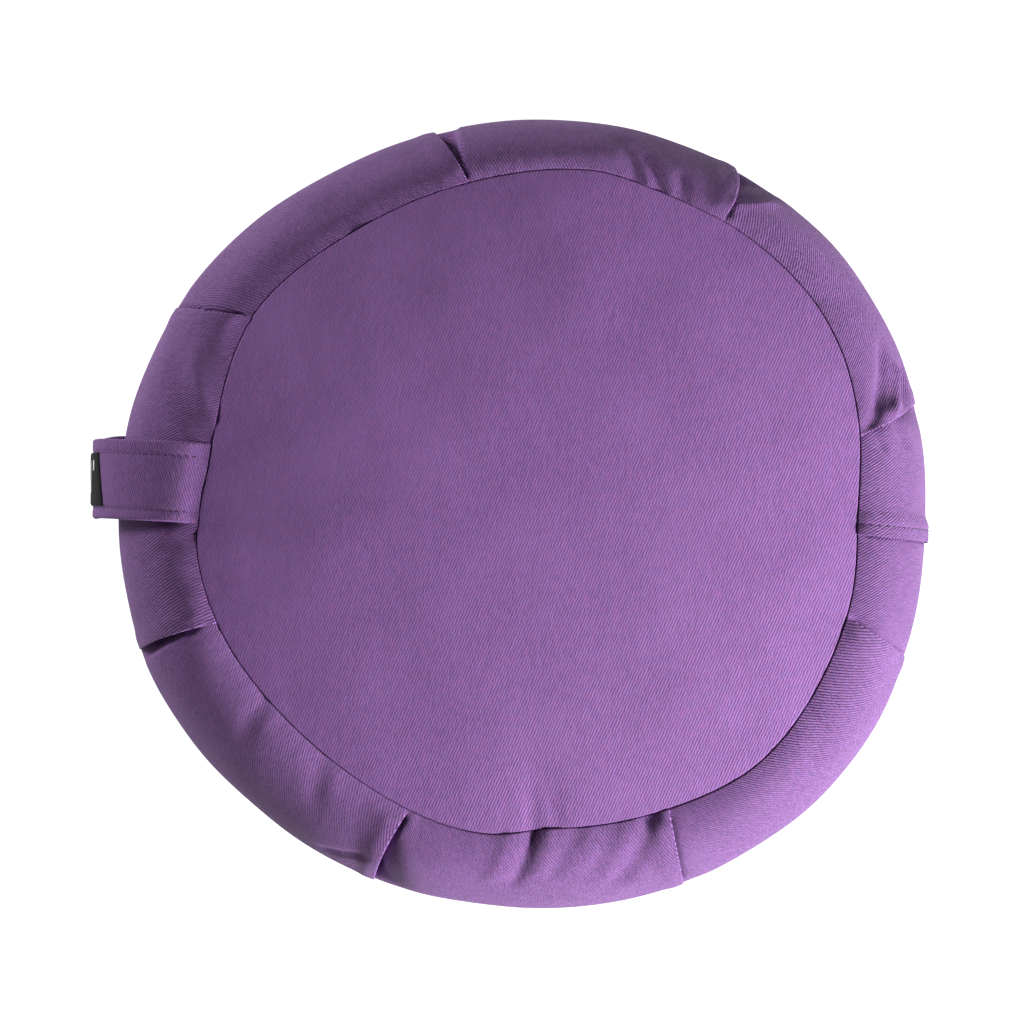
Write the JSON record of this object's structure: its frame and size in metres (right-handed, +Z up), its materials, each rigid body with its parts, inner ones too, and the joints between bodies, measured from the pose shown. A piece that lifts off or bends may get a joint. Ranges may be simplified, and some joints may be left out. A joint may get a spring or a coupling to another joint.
{
  "type": "zafu meditation cushion",
  "caption": "Round, firmly filled meditation cushion with a pleated side band, crowned top and a carrying strap.",
  "frame": {"origin": "middle of the flat underside, on the surface the cushion rests on", "axes": "+Z up through the crown; the carrying strap is on the -X side and the band's lapped join on the +X side"},
  "size_m": [0.3951, 0.3714, 0.1316],
  "materials": {
    "purple_twill": "matte cotton twill",
    "black_label": "matte woven label"
  },
  "bodies": {
    "root": {"side_band": "purple_twill", "top_panel": "purple_twill", "bottom_panel": "purple_twill", "handle_strap": "purple_twill", "label_tab": "black_label"}
  },
  "joints": []
}
